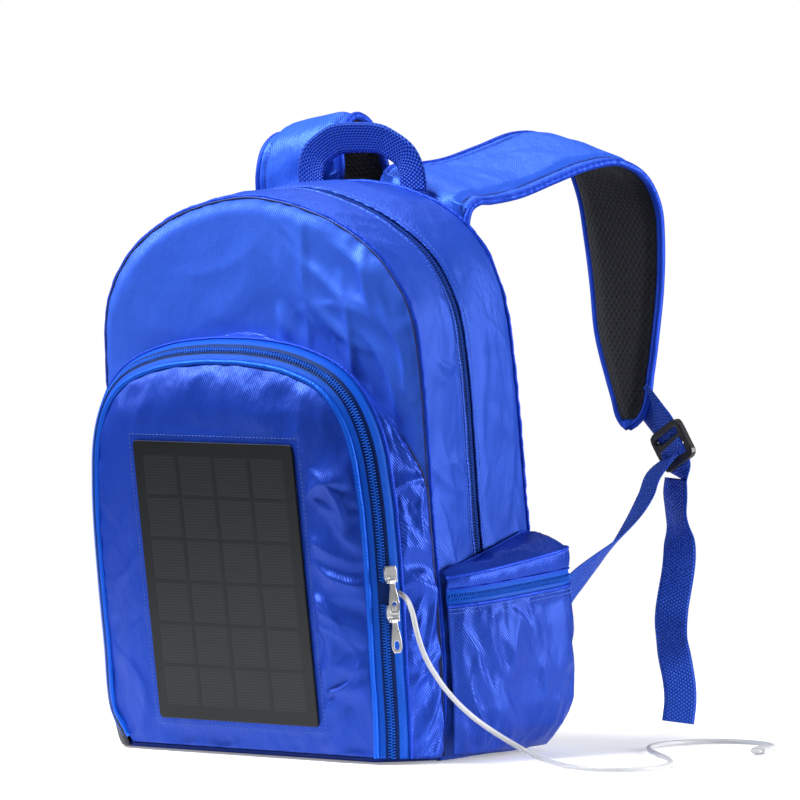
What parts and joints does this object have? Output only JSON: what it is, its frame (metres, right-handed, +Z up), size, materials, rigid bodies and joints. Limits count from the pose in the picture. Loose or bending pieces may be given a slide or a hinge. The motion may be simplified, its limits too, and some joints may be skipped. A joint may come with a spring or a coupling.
{
  "type": "solar backpack",
  "caption": "Daypack with a flexible solar panel on its front pocket, zipped compartments, side pockets, shoulder straps and a charging cable.",
  "frame": {"origin": "centre of the underside of the flat base, on the floor that the bag stands on", "axes": "+Z up; -Y is the bag's front, with the solar panel; +X is the wearer's left when worn, the side of the charging cable"},
  "size_m": [0.4818, 0.4105, 0.4678],
  "materials": {
    "blue_nylon": "glossy coated twill",
    "blue_webbing": "ribbed satin",
    "zip_tape": "woven",
    "black_mesh": "open knit",
    "solar_laminate": "satin",
    "black_plastic": "satin",
    "black_rubber": "matt",
    "white_cable": "smooth",
    "zinc": "polished",
    "steel": "bright"
  },
  "bodies": {
    "root": {"gusset_front": "blue_nylon", "gusset_rear": "blue_nylon", "main_zip_chain": "zip_tape", "side_panel_right": "blue_nylon", "side_panel_left": "blue_nylon", "front_panel": "blue_nylon", "back_panel": "blue_nylon", "back_pad": "black_mesh", "pocket_gusset": "blue_nylon", "pocket_zip_chain": "zip_tape", "pocket_face": "blue_nylon", "solar_panel": "solar_laminate", "junction_box": "black_plastic", "regulator_box": "black_plastic", "usb_socket": "steel", "usb_plug": "white_cable", "solar_lead": "black_rubber", "side_pocket_right": "blue_nylon", "side_zip_chain_right": "zip_tape", "side_pocket_flap_right": "blue_nylon", "side_pocket_left": "blue_nylon", "side_zip_chain_left": "zip_tape", "side_pocket_flap_left": "blue_nylon", "base_panel": "blue_nylon", "pocket_bottom": "blue_nylon", "charging_cable": "white_cable", "cable_end_plug": "white_cable", "corner_tab_right": "blue_nylon", "strap_root_right": "blue_nylon", "corner_tab_left": "blue_nylon", "strap_root_left": "blue_nylon"},
    "front_upper_slider": {"front_upper_slider": "zinc"},
    "front_upper_pull": {"front_upper_pull": "zinc"},
    "front_lower_slider": {"front_lower_slider": "zinc"},
    "front_lower_pull": {"front_lower_pull": "zinc"},
    "main_upper_slider": {"main_upper_slider": "zinc"},
    "main_upper_pull": {"main_upper_pull": "zinc"},
    "main_lower_slider": {"main_lower_slider": "zinc"},
    "main_lower_pull": {"main_lower_pull": "zinc"},
    "side_right_slider": {"side_right_slider": "zinc"},
    "side_right_pull": {"side_right_pull": "zinc"},
    "side_left_slider": {"side_left_slider": "zinc"},
    "side_left_pull": {"side_left_pull": "zinc"},
    "strap_right": {"strap_pad_right": "blue_nylon", "strap_mesh_right": "black_mesh", "adjuster_web_right": "blue_webbing", "ladder_lock_right": "black_plastic", "lower_web_right": "blue_webbing"},
    "tail_right": {"tail_web_right": "blue_webbing"},
    "strap_left": {"strap_pad_left": "blue_nylon", "strap_mesh_left": "black_mesh", "adjuster_web_left": "blue_webbing", "ladder_lock_left": "black_plastic", "lower_web_left": "blue_webbing"},
    "tail_left": {"tail_web_left": "blue_webbing"},
    "handle": {"grab_handle": "blue_webbing"}
  },
  "joints": [
    {"name": "front_upper_slide", "type": "slide", "parent": "root", "child": "front_upper_slider", "axis": [0, -0.1219, 0.9925], "range_m": [0, 0.06]},
    {"name": "front_lower_slide", "type": "slide", "parent": "root", "child": "front_lower_slider", "axis": [0, -0.1219, 0.9925], "range_m": [-0.076, 0]},
    {"name": "main_upper_slide", "type": "slide", "parent": "root", "child": "main_upper_slider", "axis": [0, -0.1219, 0.9925], "range_m": [0, 0.035]},
    {"name": "main_lower_slide", "type": "slide", "parent": "root", "child": "main_lower_slider", "axis": [0, -0.1219, 0.9925], "range_m": [-0.035, 0]},
    {"name": "side_right_slide", "type": "slide", "parent": "root", "child": "side_right_slider", "axis": [0.9749, -0.2228, 0], "range_m": [0, 0.01]},
    {"name": "side_left_slide", "type": "slide", "parent": "root", "child": "side_left_slider", "axis": [-0.9749, -0.2228, 0], "range_m": [0, 0.01]},
    {"name": "front_upper_pull_hinge", "type": "hinge", "parent": "front_upper_slider", "child": "front_upper_pull", "pos_m": [0.13227, -0.11846, 0.133], "axis": [-0.6616, -0.7443, -0.0914], "range_deg": [0, 120]},
    {"name": "front_lower_pull_hinge", "type": "hinge", "parent": "front_lower_slider", "child": "front_lower_pull", "pos_m": [0.13203, -0.11503, 0.105], "axis": [-0.6616, -0.7443, -0.0914], "range_deg": [0, 120]},
    {"name": "main_upper_pull_hinge", "type": "hinge", "parent": "main_upper_slider", "child": "main_upper_pull", "pos_m": [-0.1455, -0.03376, 0.25863], "axis": [0, 0.9925, 0.1219], "range_deg": [0, 120]},
    {"name": "main_lower_pull_hinge", "type": "hinge", "parent": "main_lower_slider", "child": "main_lower_pull", "pos_m": [-0.1455, -0.02933, 0.22263], "axis": [0, 0.9925, 0.1219], "range_deg": [0, 120]},
    {"name": "side_right_pull_hinge", "type": "hinge", "parent": "side_right_slider", "child": "side_right_pull", "pos_m": [0.16217, 0.05281, 0.129], "axis": [0.9749, -0.2228, 0], "range_deg": [0, 100]},
    {"name": "side_left_pull_hinge", "type": "hinge", "parent": "side_left_slider", "child": "side_left_pull", "pos_m": [-0.16217, 0.05281, 0.129], "axis": [0.9749, 0.2228, 0], "range_deg": [0, 100]},
    {"name": "strap_right_swing", "type": "hinge", "parent": "root", "child": "strap_right", "pos_m": [0.057, 0.05, 0.402], "axis": [0.2447, 0.141, -0.9593], "range_deg": [-8, 15]},
    {"name": "strap_left_swing", "type": "hinge", "parent": "root", "child": "strap_left", "pos_m": [-0.056, 0.03, 0.409], "axis": [-0.232, 0.2102, -0.9497], "range_deg": [-6, 15]},
    {"name": "tail_right_swing", "type": "hinge", "parent": "strap_right", "child": "tail_right", "pos_m": [0.138, 0.2465, 0.19], "axis": [0.9553, -0.2955, 0], "range_deg": [-35, 35]},
    {"name": "tail_left_swing", "type": "hinge", "parent": "strap_left", "child": "tail_left", "pos_m": [-0.119, 0.165, 0.124], "axis": [0.9553, 0.2955, 0], "range_deg": [-15, 35]},
    {"name": "handle_flop", "type": "hinge", "parent": "root", "child": "handle", "pos_m": [0.009, 0.0185, 0.412], "axis": [1, 0, 0], "range_deg": [0, 55]}
  ]
}
